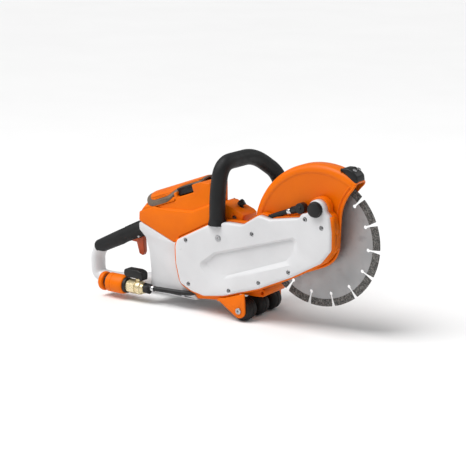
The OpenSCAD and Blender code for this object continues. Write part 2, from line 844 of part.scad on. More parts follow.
rear_end = [x_rear + rear_half_h - 2.5, -104];
grip_front = [-340, -15];
grip_rear = [rear_end[0] + 6, -85];
grip_path = [for (t = [0:0.125:1]) let (p = flat_at(grip_front, grip_rear, t)) [p[0], housing_mid_y, p[1] + 2 * sin(180 * t)]];
loop_low_z = ground_z + rear_half_h - 2;
loop_path = route([[grip_rear[0] + 6, housing_mid_y, grip_rear[1] + 3], [rear_end[0], housing_mid_y, -100],
    [rear_end[0], housing_mid_y, loop_low_z + 2], [-470, housing_mid_y, loop_low_z],
    [-425, housing_mid_y, loop_low_z + 4], [-325, housing_mid_y, -122]], 18, 4);

module rear_loop() {
    color(white) union() {
        difference() {
            swept(loop_path, same(rear_half_w - 2, loop_path), same(rear_half_h - 2.5, loop_path), 20);
            grip_body();
            side_on(-50, 100) offset(0.1) polygon(housing_points);
        }
        // Flat pad that the saw rests on
        translate([-484, housing_mid_y - 10, ground_z]) cube([44, 20, 8]);
    }
}

module grip_body() {
    ends = len(grip_path) - 1;
    swept(grip_path, [for (i = [0:ends]) rear_half_w - 1.5 * sin(180 * i / ends)],
        [for (i = [0:ends]) rear_half_h + 2 - 4 * i / ends], 24);
}

module rear_grip() {
    color(dark) difference() {
        grip_body();
        // Slot for the trigger and the lockout lever
        translate([-438, housing_mid_y - 5 - moving_gap, -140]) cube([66, 10 + 2 * moving_gap, 160]);
        side_on(-50, 100) offset(0.1) polygon(concat(housing_points, [[-283, 40], [-362, 40]]));
        for (p = [trigger_pin, lockout_pin]) rod_y(p, 2, housing_mid_y - 12, housing_mid_y + 12);
    }
}

trigger_pin = [-394, -50];
lockout_pin = [-394, -36];

// A finger lever below the grip.
module trigger() {
    color([0.75, 0.2, 0.05]) difference() {
        side_on(housing_mid_y - 5, housing_mid_y + 5) soft(1.5) polygon([[-390, -44], [-400, -46], [-425, -58],
            [-420, -62], [-404, -63], [-398, -84], [-390, -87], [-387, -80], [-388, -58]]);
        rod_y(trigger_pin, 2 + running, 0, 60);
    }
}

// The palm lever that frees the trigger, on top of the grip.
module lockout_lever() {
    color(dark) difference() {
        side_on(housing_mid_y - 5, housing_mid_y + 5) soft(1.5) polygon([[-389, -39], [-389, -24], [-400, -22],
            [-433, -38], [-434, -43], [-410, -36], [-399, -40]]);
        rod_y(lockout_pin, 2 + running, 0, 60);
    }
}

module trigger_pins() {
    color(steel) for (p = [trigger_pin, lockout_pin]) rod_y(p, 2, housing_mid_y - 12, housing_mid_y + 12);
}

module trigger_switch() {
    color([0.2, 0.2, 0.6]) translate([-436, housing_mid_y - 4.5, -58]) cube([9, 9, 9]);
}

// ---------- front handle ----------

handle_points = [[-184, -38, 6], [-184, -38, 60], [-handle_back, -38, handle_top], [-handle_back, housing_left_y - 4, handle_top],
    [-156, housing_left_y + 42, 82], [-150, handle_far_y, 50], [-150, handle_far_y, -52], [-152, housing_left_y - 4, -72]];
handle_path = route(handle_points, 30, 5);

module front_handle_tube() {
    color(steel) swept(handle_path, same(handle_core_r, handle_path), same(handle_core_r, handle_path), 16);
}

module front_handle_grip() {
    inner = [for (i = [1:len(handle_path) - 2]) handle_path[i]];
    sleeve = concat([flat_at(handle_path[0], handle_path[1], 0.3)], inner,
        [flat_at(handle_path[len(handle_path) - 1], handle_path[len(handle_path) - 2], 0.4)]);
    color(dark) swept(sleeve, same(handle_r, sleeve), same(handle_r, sleeve), 20, [0, 1, 0], handle_core_r + 0.35);
}

module front_handle_collar() {
    p = handle_points[0];
    color(dark) translate([p[0], p[1], p[2] + 2]) difference() {
        cylinder(h = 12, r1 = handle_r + 2.5, r2 = handle_r + 1.5);
        translate([0, 0, -1]) cylinder(h = 15, r = handle_r + 0.2);
    }
}

module handle_foot_hole() {
    p = handle_points[len(handle_points) - 1];
    translate([p[0], p[1], p[2]]) rotate([-73, 0, 0]) cylinder(h = 60, r = handle_core_r + 0.6, center = true);
}

// ---------- rollers ----------

roller_y0 = roller_mid_y - roller_span / 2;
roller_y1 = roller_mid_y + roller_span / 2;

module bracket_outline() {
    hull() {
        translate(axle) circle(r = 13);
        translate([-176, -124]) circle(r = 1);
        translate([-124, -104]) circle(r = 1);
    }
}

module roller_brackets() {
    color(orange) difference() {
        union() {
            for (y = [roller_y0 - bracket_gap - bracket_t, roller_y1 + bracket_gap])
                side_on(y, y + bracket_t) bracket_outline();
            // Bridge below the housing that ties the two brackets together
            translate([-182, roller_y0 - bracket_gap - bracket_t, -127.5]) rotate([0, -16, 0])
                cube([24, roller_span + 2 * (bracket_gap + bracket_t), 6]);
            // Bar above the rollers that carries the guide wheel's bosses
            side_on(-16, 50) polygon([[-160, -116], [-120, -115.5], boss + [0, -7], boss + [0, 7], [-120, -100],
                [-160, -100]]);
            rod_y(boss, 7, -16, 50);
        }
        rod_y(boss, 3, -17, 51);
        rod_y(axle, roller_axle_r, -70, 100);
        side_on(-70, 120) offset(0.1) polygon(housing_points);
        side_on(-60, frame_back + 0.4) frame_outline(0.7);
    }
}

module roller_axle() {
    color(steel) difference() {
        union() {
            rod_y(axle, roller_axle_r, roller_y0 - bracket_gap - bracket_t, roller_y1 + bracket_gap + bracket_t);
            rod_y(axle, 5.5, roller_y0 - bracket_gap - bracket_t - 2, roller_y0 - bracket_gap - bracket_t);
            rod_y(axle, 5.5, roller_y1 + bracket_gap + bracket_t, roller_y1 + bracket_gap + bracket_t + 2);
        }
        side_on(roller_y0 - bracket_gap - bracket_t - 3, roller_y0 - bracket_gap - bracket_t)
            translate(axle) circle(r = 2.4, $fn = 6);
    }
}

module roller(k) {
    y0 = roller_y0 + k * roller_pitch;
    color(dark) translate([axle[0], y0, axle[1]]) rotate([-90, 0, 0]) rotate_extrude() polygon([
        [roller_axle_r + running, 0], [roller_r - 4, 0], [roller_r - 1, 1.2], [roller_r, 4],
        [roller_r, roller_w - 4], [roller_r - 1, roller_w - 1.2], [roller_r - 4, roller_w],
        [roller_axle_r + running, roller_w]]);
}

module roller_right() {
    roller(0);
}

module roller_middle() {
    roller(1);
}

module roller_left() {
    roller(2);
}

// ---------- water line ----------

elbow_at = [-18, -30, 58];
nut_x = -343;
hose_in_y = frame_back - frame_plate_t - hose_r - 1;
hose_route = [[nut_x + 16, coupling_y, coupling_z + 3], [nut_x + 50, coupling_y + 1, coupling_z + 4],
    [-262, -41, -126], [-236, -38, -124], [-221, -31, -110], [-226, hose_in_y, -92], [-240, hose_in_y, -60],
    [-222, hose_in_y, -22], [-200, hose_in_y, -4], [-165, hose_in_y, -3], [-140, hose_in_y, 0],
    [-122, hose_in_y, 9], [-104, hose_in_y, 20], [-90, hose_in_y, 30], [-60, -30, 43], [-38, -30, 51]];
hose_path = route(hose_route, 14, 3);

module water_hose() {
    color(dark) swept(hose_path, same(hose_r, hose_path), same(hose_r, hose_path), 10);
}

module hose_space() {
    r = hose_r + 0.5;
    swept(hose_path, same(r, hose_path), same(r, hose_path), 10);
}

module hose_ferrules() {
    color(steel) difference() {
        union() {
            rod_x(nut_x + 17.1, nut_x + 24, coupling_y, coupling_z + 3, hose_r + 1.4);
            translate([-44, -30, 48.7]) rotate([0, 69, 0]) cylinder(h = 7, r = hose_r + 1.4);
        }
        rod_x(nut_x + 10, nut_x + 30, coupling_y, coupling_z + 3, hose_r + 0.05);
        translate([-44, -30, 48.7]) rotate([0, 69, 0]) cylinder(h = 30, r = hose_r + 0.05, center = true);
    }
}

module hose_elbow() {
    color(dark) {
        translate([-36.5, -30, 51.6]) rotate([0, 69, 0]) cylinder(h = 12, r = hose_r + 1.8);
        rod_y([elbow_at[0], elbow_at[2]], 9, -37, -23);
    }
    color(steel) rod_y([elbow_at[0], elbow_at[2]], 3, -39, -20.5);
}

module valve_body() {
    color(brass) difference() {
        union() {
            rod_x(nut_x - 26, nut_x + 1, coupling_y, coupling_z, 13, 8);
            rod_x(nut_x - 33, nut_x - 25, coupling_y, coupling_z, 10);
            translate([nut_x - 12, coupling_y, coupling_z]) cylinder(h = 18, r = 7);
        }
        rod_x(nut_x - 40, nut_x + 4, coupling_y, coupling_z, 4);
    }
}

// A quarter-turn lever on the ball valve.
module valve_lever() {
    color(dark) translate([nut_x - 12, coupling_y, coupling_z + 18.4]) {
        cylinder(h = 6, r = 9);
        translate([-28, -6, 2]) cube([42, 12, 13]);
    }
}

module hose_nut() {
    color(dark) difference() {
        union() {
            rod_x(nut_x + 1.5, nut_x + 14, coupling_y, coupling_z + 1, 10, 6);
            rod_x(nut_x + 13, nut_x + 17, coupling_y, coupling_z + 3, hose_r + 2);
        }
        rod_x(nut_x, nut_x + 8, coupling_y, coupling_z, 4);
        rod_x(nut_x + 16, nut_x + 18, coupling_y, coupling_z + 3, hose_r + 0.05);
    }
}

coupling_x = [nut_x - 101, nut_x - 33];

coupling_nose_r = coupling_r - 5;

// A collar that slides towards the body to free the plug.
module coupling_collar() {
    color(orange) difference() {
        rod_x(coupling_x[0], coupling_x[0] + 16, coupling_y, coupling_z, coupling_r - 1);
        rod_x(coupling_x[0] - 1, coupling_x[0] + 17, coupling_y, coupling_z, coupling_nose_r + running);
    }
}

module hose_coupling() {
    color(orange) difference() {
        union() {
            rod_x(coupling_x[0] + 1, coupling_x[0] + 25, coupling_y, coupling_z, coupling_nose_r);
            rod_x(coupling_x[0] + 24, coupling_x[1], coupling_y, coupling_z, coupling_r);
        }
        rod_x(coupling_x[0] - 1, coupling_x[0] + 44, coupling_y, coupling_z, coupling_bore_r);
        rod_x(coupling_x[0] + 40, coupling_x[1] + 1, coupling_y, coupling_z, 4);
    }
}

place() belt_cover();
place() cover_screws();
place() belt_tensioner();
place() arm_frame();
place() spindle_bearings();
place() spindle();
place() spindle_pulley();
place() inner_flange();
place() cutting_disc_core();
place() diamond_segments();
place() outer_flange();
place() arbor_bolt();
place() guard_shell();
place() guard_grip();
place() guard_grip_screws();
place() guard_spray_nozzles();
place() guard_clamp_knob();
place() motor_stator();
place() motor_bearings();
place() motor_rotor();
place() motor_pulley();
place() motor_fan();
place() drive_belt();
place() control_board();
place() battery_terminals();
place() housing_right();
place() housing_left();
place() housing_screws();
place() top_shell();
place() filter_cover();
place() air_filter();
place() filter_latch();
place() battery_case();
place() battery_cells();
place() battery_rim();
place() battery_cap();
place() battery_lock_right();
place() battery_lock_left();
place() rear_loop();
place() rear_grip();
place() lockout_lever();
place() trigger();
place() trigger_pins();
place() trigger_switch();
place() front_handle_tube();
place() front_handle_grip();
place() front_handle_collar();
place() roller_brackets();
place() roller_axle();
place() roller_right();
place() roller_middle();
place() roller_left();
place() water_hose();
place() hose_ferrules();
place() hose_elbow();
place() valve_body();
place() valve_lever();
place() hose_nut();
place() hose_coupling();
place() coupling_collar();
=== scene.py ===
# Battery cut-off saw with a water line and ground rollers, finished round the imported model.
import json
import math

import bmesh
import bpy
from mathutils import Matrix, Vector

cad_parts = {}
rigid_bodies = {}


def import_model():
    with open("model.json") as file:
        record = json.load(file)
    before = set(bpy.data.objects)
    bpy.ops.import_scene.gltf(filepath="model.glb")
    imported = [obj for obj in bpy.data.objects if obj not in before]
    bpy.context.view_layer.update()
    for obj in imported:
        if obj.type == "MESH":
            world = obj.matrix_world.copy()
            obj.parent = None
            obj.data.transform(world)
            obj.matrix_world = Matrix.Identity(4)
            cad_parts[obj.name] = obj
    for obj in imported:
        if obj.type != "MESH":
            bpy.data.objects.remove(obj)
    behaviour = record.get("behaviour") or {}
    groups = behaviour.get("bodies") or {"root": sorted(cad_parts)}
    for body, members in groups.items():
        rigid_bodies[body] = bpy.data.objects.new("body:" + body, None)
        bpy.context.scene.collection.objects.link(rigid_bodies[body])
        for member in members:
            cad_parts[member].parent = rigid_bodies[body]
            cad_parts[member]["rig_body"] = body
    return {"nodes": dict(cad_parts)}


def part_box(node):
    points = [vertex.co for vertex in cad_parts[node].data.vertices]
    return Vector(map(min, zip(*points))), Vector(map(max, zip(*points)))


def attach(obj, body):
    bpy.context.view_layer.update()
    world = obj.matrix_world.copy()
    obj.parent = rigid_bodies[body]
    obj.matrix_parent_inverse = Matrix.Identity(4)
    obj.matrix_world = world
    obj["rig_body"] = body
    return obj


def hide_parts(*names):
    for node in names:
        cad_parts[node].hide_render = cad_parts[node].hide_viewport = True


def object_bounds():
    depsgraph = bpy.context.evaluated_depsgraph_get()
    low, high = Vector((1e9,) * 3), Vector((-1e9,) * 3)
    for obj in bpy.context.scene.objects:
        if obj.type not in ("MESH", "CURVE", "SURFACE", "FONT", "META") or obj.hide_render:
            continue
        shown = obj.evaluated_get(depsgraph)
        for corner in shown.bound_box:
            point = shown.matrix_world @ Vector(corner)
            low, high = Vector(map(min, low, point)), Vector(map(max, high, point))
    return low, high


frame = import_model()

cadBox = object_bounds()
print("frame loaded:", len(frame["nodes"]), "nodes")

nodeBody = {name: piece["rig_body"] for name, piece in frame["nodes"].items()}
spindleLow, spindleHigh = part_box("spindle")
coreLow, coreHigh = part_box("cutting_disc_core")
hub = Vector(((spindleLow.x + spindleHigh.x) / 2, (coreLow.y + coreHigh.y) / 2, (spindleLow.z + spindleHigh.z) / 2))


def spot(x, y, z):
    return hub + Vector((x, y, z)) / 1000  # millimetres from the middle of the disc


# Camera, floor and light

cameraLook = {"target": (-177.26, 0, -12.5), "azimuth": 34.68, "elevation": 13.56, "distance": 2.3, "lens": 100.98}
studio = {"floorSize": 60, "world": 0.34, "sun": 2.6, "sunSoftness": 38, "key": 11, "rim": 6}


def setCamera(look):
    azimuth, elevation = math.radians(look["azimuth"]), math.radians(look["elevation"])
    level = math.cos(elevation)
    back = Vector((math.sin(azimuth) * level, -math.cos(azimuth) * level, math.sin(elevation)))
    camera = bpy.data.objects.new("camera", bpy.data.cameras.new("camera"))
    bpy.context.scene.collection.objects.link(camera)
    camera.data.lens, camera.data.sensor_width = look["lens"], 36
    camera.data.clip_end = 200
    camera.location = spot(*look["target"]) + back * look["distance"]
    camera.rotation_euler = (-back).to_track_quat("-Z", "Y").to_euler()
    bpy.context.scene.camera = camera


def addLight(name, kind, energy, place, aim, size=1.0):
    data = bpy.data.lights.new(name, kind)
    data.energy = energy
    if kind == "SUN":
        data.angle = math.radians(size)
    else:
        data.shape, data.size, data.size_y = "RECTANGLE", size, size * 0.6
    lamp = bpy.data.objects.new(name, data)
    lamp.location = place
    lamp.rotation_euler = (Vector(aim) - Vector(place)).to_track_quat("-Z", "Y").to_euler()
    bpy.context.scene.collection.objects.link(lamp)


setCamera(cameraLook)
bpy.context.scene.view_settings.view_transform = "Standard"
world = bpy.data.worlds.new("studio")
world.use_nodes = True
world.node_tree.nodes["Background"].inputs["Color"].default_value = (1, 1, 1, 1)
world.node_tree.nodes["Background"].inputs["Strength"].default_value = studio["world"]
bpy.context.scene.world = world
addLight("softSun", "SUN", studio["sun"], (-1.2, -1.6, 4), (0, 0, 0), studio["sunSoftness"])
addLight("keyPanel", "AREA", studio["key"], (-1.6, -1.5, 1.7), (-0.05, 0, 0.15), 1.4)
addLight("rimPanel", "AREA", studio["rim"], (1.2, 1.3, 1.5), (0, 0, 0.15), 1.2)
print("camera and light set")

# Finishes, one for each slot of the record


def noiseNode(tree, source, scale, detail=3.0, rough=0.5):
    node = tree.nodes.new("ShaderNodeTexNoise")
    node.inputs["Scale"].default_value = scale
    node.inputs["Detail"].default_value = detail
    node.inputs["Roughness"].default_value = rough
    tree.links.new(source, node.inputs["Vector"])
    return node.outputs["Fac"]


def rampNode(tree, source, stops):
    node = tree.nodes.new("ShaderNodeValToRGB")
    while len(node.color_ramp.elements) < len(stops):
        node.color_ramp.elements.new(0.5)
    for element, (place, colour) in zip(node.color_ramp.elements, stops):
        element.position = place
        element.color = (*colour, 1)
    tree.links.new(source, node.inputs["Fac"])
    return node.outputs["Color"]


def rangeNode(tree, source, low, high):
    node = tree.nodes.new("ShaderNodeMapRange")
    node.inputs["From Min"].default_value, node.inputs["From Max"].default_value = 0.3, 0.7
    node.inputs["To Min"].default_value, node.inputs["To Max"].default_value = low, high
    tree.links.new(source, node.inputs["Value"])
    return node.outputs["Result"]


def mixNode(tree, factor, first, second):
    node = tree.nodes.new("ShaderNodeMix")
    node.data_type = "RGBA"
    tree.links.new(factor, node.inputs["Factor"])
    tree.links.new(first, node.inputs["A"])
    if isinstance(second, tuple):
        node.inputs["B"].default_value = (*second, 1)
    else:
        tree.links.new(second, node.inputs["B"])
    return node.outputs["Result"]


def bumpNode(tree, height, strength, depth, below=None):
    node = tree.nodes.new("ShaderNodeBump")
    node.inputs["Strength"].default_value = strength
    node.inputs["Distance"].default_value = depth
    tree.links.new(height, node.inputs["Height"])
    if below is not None:
        tree.links.new(below, node.inputs["Normal"])
    return node.outputs["Normal"]


def finish(name, tones, mottle=30, rough=(0.4, 0.5), grain=2200, grainBump=0.15, swell=60, swellBump=0.05,
           wear=None, wearScale=90, wearEdge=(0.68, 0.78), stretch=(1, 1, 1), metal=0.0, coat=0.0, sheen=0.0,
           gloss=0.5, turned=False, ringBump=0.3):
    material = bpy.data.materials.new(name)
    material.use_nodes = True
    tree = material.node_tree
    shader = tree.nodes["Principled BSDF"]
    coords = tree.nodes.new("ShaderNodeTexCoord")
    mapping = tree.nodes.new("ShaderNodeMapping")
    mapping.inputs["Location"].default_value = -hub
    tree.links.new(coords.outputs["Object"], mapping.inputs["Vector"])
    place = mapping.outputs["Vector"]
    stretched = tree.nodes.new("ShaderNodeMapping")
    stretched.inputs["Scale"].default_value = stretch
    tree.links.new(place, stretched.inputs["Vector"])
    count = len(tones)
    stops = [(0.32 + 0.36 * k / (count - 1), tone) for k, tone in enumerate(tones)]
    colour = rampNode(tree, noiseNode(tree, place, mottle, 4), stops)
    if wear:  # scuffs and dust that break up the surface
        patch = rampNode(tree, noiseNode(tree, stretched.outputs["Vector"], wearScale, 6, 0.62),
                         [(wearEdge[0], (0, 0, 0)), (wearEdge[1], (1, 1, 1))])
        colour = mixNode(tree, patch, colour, wear)
    tree.links.new(colour, shader.inputs["Base Color"])
    tree.links.new(rangeNode(tree, noiseNode(tree, stretched.outputs["Vector"], mottle * 4, 5), *rough),
                   shader.inputs["Roughness"])
    normal = bumpNode(tree, noiseNode(tree, place, swell, 2), swellBump, 0.001)
    normal = bumpNode(tree, noiseNode(tree, stretched.outputs["Vector"], grain, 3), grainBump, 0.0002, normal)
    if turned:  # rings left by grinding on a turntable
        flat = tree.nodes.new("ShaderNodeVectorMath")
        flat.operation = "MULTIPLY"
        flat.inputs[1].default_value = (1, 0, 1)
        tree.links.new(place, flat.inputs[0])
        reach = tree.nodes.new("ShaderNodeVectorMath")
        reach.operation = "LENGTH"
        tree.links.new(flat.outputs["Vector"], reach.inputs[0])
        rings = tree.nodes.new("ShaderNodeTexNoise")
        rings.noise_dimensions = "1D"
        rings.inputs["Scale"].default_value = 900
        rings.inputs["Detail"].default_value = 4
        tree.links.new(reach.outputs["Value"], rings.inputs["W"])
        normal = bumpNode(tree, rings.outputs["Fac"], ringBump, 0.0002, normal)
    tree.links.new(normal, shader.inputs["Normal"])
    shader.inputs["Metallic"].default_value = metal
    shader.inputs["Coat Weight"].default_value = coat
    shader.inputs["Sheen Weight"].default_value = sheen
    shader.inputs["Specular IOR Level"].default_value = gloss
    return material


finishes = {
    "white_shell": finish("satinWhitePlastic", [(0.62, 0.62, 0.63), (0.70, 0.70, 0.71)], mottle=12, rough=(0.34, 0.46),
                          grain=2600, grainBump=0.12, wear=(0.50, 0.50, 0.50), wearScale=60, wearEdge=(0.70, 0.80)),
    "orange_shell": finish("satinOrangePlastic", [(0.74, 0.138, 0.0), (0.84, 0.17, 0.0)], mottle=14, rough=(0.36, 0.5),
                           grain=2400, grainBump=0.14, wear=(0.62, 0.11, 0.0), wearScale=70, wearEdge=(0.66, 0.8),
                           gloss=0.15),
    "orange_metal": finish("orangePowderCoat", [(0.75, 0.138, 0.0), (0.84, 0.168, 0.0)], mottle=10, rough=(0.32, 0.44),
                           grain=1300, grainBump=0.1, swell=400, swellBump=0.12, wear=(0.66, 0.12, 0.004), wearScale=50,
                           wearEdge=(0.66, 0.8), gloss=0.18),
    "dark_plastic": finish("grainedDarkPlastic", [(0.006, 0.0065, 0.007), (0.012, 0.0125, 0.013)], mottle=25,
                           rough=(0.38, 0.52), grain=1800, grainBump=0.25, wear=(0.025, 0.025, 0.025),
                           wearScale=120, gloss=0.35),
    "trigger_plastic": finish("triggerOrangePlastic", [(0.42, 0.05, 0.003), (0.52, 0.07, 0.004)], mottle=40,
                              rough=(0.36, 0.48), grain=2200, grainBump=0.15, wear=(0.4, 0.06, 0.01), wearScale=140),
    "grip_rubber": finish("softGripRubber", [(0.006, 0.0065, 0.007), (0.012, 0.0125, 0.013)], mottle=20,
                          rough=(0.46, 0.62), grain=1500, grainBump=0.45, swell=120, swellBump=0.06,
                          wear=(0.02, 0.02, 0.02), wearScale=80, gloss=0.3),
    "roller_plastic": finish("rollerRubber", [(0.006, 0.006, 0.0065), (0.013, 0.0125, 0.0125)], mottle=40,
                             rough=(0.5, 0.7), grain=1200, grainBump=0.4, wear=(0.03, 0.028, 0.026), wearScale=110,
                             wearEdge=(0.58, 0.75), gloss=0.3),
    "hose_rubber": finish("hoseRubber", [(0.006, 0.006, 0.0065), (0.012, 0.012, 0.0125)], mottle=50, rough=(0.4, 0.55),
                          grain=1600, grainBump=0.3, wear=(0.02, 0.02, 0.02), wearScale=150, gloss=0.35),
    "disc_steel": finish("groundDiscSteel", [(0.34, 0.345, 0.35), (0.42, 0.42, 0.425)], mottle=22, rough=(0.42, 0.58),
                         grain=1500, grainBump=0.12, wear=(0.27, 0.27, 0.275), wearScale=40, wearEdge=(0.55, 0.8),
                         metal=0.75, turned=True),
    "diamond_grit": finish("diamondGrit", [(0.035, 0.034, 0.033), (0.10, 0.098, 0.094), (0.22, 0.215, 0.2)], mottle=420,
                           rough=(0.55, 0.85), grain=700, grainBump=1.0, swell=260, swellBump=0.6,
                           wear=(0.34, 0.33, 0.3), wearScale=600, wearEdge=(0.62, 0.7), metal=0.25),
    "bright_steel": finish("machinedSteel", [(0.42, 0.42, 0.43), (0.52, 0.52, 0.53)], mottle=60, rough=(0.26, 0.4),
                           grain=1400, grainBump=0.2, wear=(0.3, 0.3, 0.3), wearScale=160, metal=1.0),
    "screw_steel": finish("screwSteel", [(0.38, 0.385, 0.39), (0.5, 0.5, 0.51)], mottle=120, rough=(0.24, 0.38),
                          grain=2600, grainBump=0.2, wear=(0.2, 0.2, 0.2), wearScale=260, metal=1.0),
    "chrome_fitting": finish("chromedFitting", [(0.6, 0.6, 0.61), (0.7, 0.7, 0.71)], mottle=90, rough=(0.12, 0.24),
                             grain=1800, grainBump=0.08, wear=(0.4, 0.4, 0.4), wearScale=200, metal=1.0),
    "valve_brass": finish("paleBrass", [(0.72, 0.6, 0.34), (0.82, 0.71, 0.46)], mottle=70, rough=(0.22, 0.36),
                          grain=1500, grainBump=0.15, wear=(0.52, 0.42, 0.22), wearScale=140, metal=0.6),
    "motor_copper": finish("windingCopper", [(0.42, 0.17, 0.07), (0.6, 0.27, 0.12)], mottle=90, rough=(0.3, 0.45),
                           grain=1800, grainBump=0.4, wear=(0.25, 0.1, 0.05), wearScale=180, stretch=(1, 6, 1),
                           metal=1.0),
    "board_green": finish("boardGreen", [(0.015, 0.1, 0.04), (0.02, 0.15, 0.06)], mottle=90, rough=(0.3, 0.45),
                          grain=1400, grainBump=0.2, wear=(0.3, 0.22, 0.08), wearScale=300),
    "cell_blue": finish("cellSleeve", [(0.03, 0.12, 0.3), (0.05, 0.17, 0.4)], mottle=60, rough=(0.25, 0.35),
                        grain=1200, grainBump=0.1, wear=(0.1, 0.2, 0.4), wearScale=120),
    "filter_paper": finish("pleatedFilter", [(0.5, 0.48, 0.4), (0.62, 0.6, 0.52)], mottle=50, rough=(0.8, 0.95),
                           grain=900, grainBump=0.6, wear=(0.3, 0.28, 0.24), wearScale=90, stretch=(12, 1, 1)),
}
floorFinish = finish("paleFloor", [(0.885, 0.885, 0.885), (0.9, 0.9, 0.9)], mottle=1.5, rough=(0.7, 0.8), grain=300,
                     grainBump=0.02, gloss=0.2)
# the black battery band is given the grey-brown of its lit top: a painted highlight over black plastic
bandHighlightFinish = finish("bandPaintedHighlightPlastic", [(0.10, 0.075, 0.052), (0.16, 0.12, 0.085)], mottle=25, rough=(0.34, 0.5),
                    grain=1800, grainBump=0.2, wear=(0.05, 0.045, 0.04), wearScale=120)
print("finishes made:", len(finishes))

floorMesh = bmesh.new()
bmesh.ops.create_grid(floorMesh, x_segments=4, y_segments=4, size=studio["floorSize"] / 2)
floorData = bpy.data.meshes.new("floor")
floorMesh.to_mesh(floorData)
floorMesh.free()
floorData.materials.append(floorFinish)
floor = bpy.data.objects.new("floor", floorData)
bpy.context.scene.collection.objects.link(floor)
floor.location = (0, 0, cadBox[0].z - 0.0003)

slotNodes = {
    "white_shell": "belt_cover housing_right housing_left rear_loop",
    "screw_steel": "cover_screws belt_tensioner arbor_bolt guard_grip_screws housing_screws roller_axle",
    "orange_metal": "arm_frame guard_shell roller_brackets",
    "bright_steel": ("spindle_bearings spindle spindle_pulley inner_flange outer_flange motor_bearings "
                     "motor_rotor motor_pulley trigger_pins front_handle_tube"),
    "disc_steel": "cutting_disc_core",
    "diamond_grit": "diamond_segments",
    "dark_plastic": ("guard_grip guard_spray_nozzles guard_clamp_knob motor_fan filter_latch battery_case "
                     "battery_rim battery_lock_right battery_lock_left lockout_lever trigger_switch hose_elbow "
                     "valve_lever hose_nut"),
    "motor_copper": "motor_stator battery_terminals",
    "hose_rubber": "drive_belt water_hose",
    "board_green": "control_board",
    "orange_shell": "top_shell filter_cover battery_cap hose_coupling coupling_collar",
    "filter_paper": "air_filter",
    "cell_blue": "battery_cells",
    "grip_rubber": "rear_grip front_handle_grip front_handle_collar",
    "trigger_plastic": "trigger",
    "roller_plastic": "roller_right roller_middle roller_left",
    "chrome_fitting": "hose_ferrules",
    "valve_brass": "valve_body",
}
nodeSlot = {node: slotName for slotName, nodes in slotNodes.items() for node in nodes.split()}
for name, piece in frame["nodes"].items():
    piece.data.materials.clear()
    piece.data.materials.append(finishes[nodeSlot[name]])

mergeReach = 0.000004  # metres
flatAngle = math.radians(0.7)


def pull(bm, grown, x=0.0, y=0.0, z=0.0):  # moves what an extrude has just made, in millimetres
    moved = [v for v in grown if isinstance(v, bmesh.types.BMVert)]
    bmesh.ops.translate(bm, vec=(x / 1000, y / 1000, z / 1000), verts=moved)


def mergedCopy(node):
    bm = bmesh.new()
    bm.from_mesh(frame["nodes"][node].data)
    bmesh.ops.remove_doubles(bm, verts=bm.verts, dist=mergeReach)
    return bm


def settle(name, bm, body, slotName, replaced=(), bevel=0.0, segments=2, sharp=32, material=None, soften=0):
    for face in bm.faces:
        face.smooth = True
    for edge in bm.edges:
        edge.smooth = not (len(edge.link_faces) == 2 and edge.calc_face_angle(0) > math.radians(sharp))
    data = bpy.data.meshes.new(name)
    bm.to_mesh(data)
    bm.free()
    piece = bpy.data.objects.new(name, data)
    bpy.context.scene.collection.objects.link(piece)
    data.materials.append(material or finishes[slotName])
    if bevel:
        for edge in data.edges:
            edge.use_edge_sharp = False
        edgeRound = piece.modifiers.new("edgeRound", "BEVEL")
        edgeRound.width, edgeRound.segments = bevel / 1000, segments
        edgeRound.limit_method, edgeRound.angle_limit = "ANGLE", math.radians(sharp)
        edgeRound.harden_normals, edgeRound.use_clamp_overlap = True, False
    if soften:
        rounder = piece.modifiers.new("rounder", "SUBSURF")
        rounder.levels = rounder.render_levels = soften
    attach(piece, body)
    if replaced:
        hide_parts(*replaced)
    return piece


def addWall(piece, thick, offset):
    wall = piece.modifiers.new("wall", "SOLIDIFY")
    wall.thickness, wall.offset, wall.use_even_offset = thick / 1000, offset, True


def refined(node, name, bevel=0.5, segments=2, sharp=32, slotName=None):
    bm = mergedCopy(node)
    bmesh.ops.dissolve_limit(bm, angle_limit=flatAngle, verts=bm.verts, edges=bm.edges)
    return settle(name, bm, nodeBody[node], slotName or nodeSlot[node], [node], bevel, segments, sharp)


def drawFace(bm, points, y, radius=0, steps=5):
    others = set(bm.faces)
    corners = [bm.verts.new(spot(x, y, z)) for x, z in points]
    bm.faces.new(corners)
    count = len(points)
    for k, corner in enumerate(corners):  # rounds each corner as far as its sides allow
        here, before, after = Vector(points[k]), Vector(points[k - 1]), Vector(points[(k + 1) % count])
        turn = (here - before).angle(after - here)
        reach = min(radius * math.tan(turn / 2), 0.46 * min((here - before).length, (after - here).length))
        if reach > 0.1:
            bmesh.ops.bevel(bm, geom=[corner], affect="VERTICES", offset=reach / 1000, offset_type="OFFSET",
                            segments=max(1, min(steps, round(turn * 4))), profile=0.5, material=-1)
    return next(f for f in bm.faces if f not in others)


def sideFace(bm, side):
    return max((f for f in bm.faces if f.normal.y * side > 0.99), key=lambda f: f.calc_area())


def slab(points, yFar, yNear, radius=3, edge=1.0, steps=3):
    bm = bmesh.new()  # a side-on plate whose near rim is rounded
    drawFace(bm, points, yFar, radius)
    grown = bmesh.ops.extrude_face_region(bm, geom=bm.faces[:])["geom"]
    pull(bm, grown, y=yNear - yFar)
    bmesh.ops.recalc_face_normals(bm, faces=bm.faces[:])
    near = sideFace(bm, -1 if yNear < yFar else 1)
    if edge:
        bmesh.ops.bevel(bm, geom=near.edges[:], affect="EDGES", offset=edge / 1000, offset_type="OFFSET",
                        segments=steps, profile=0.5, clamp_overlap=False, material=-1)
    return bm


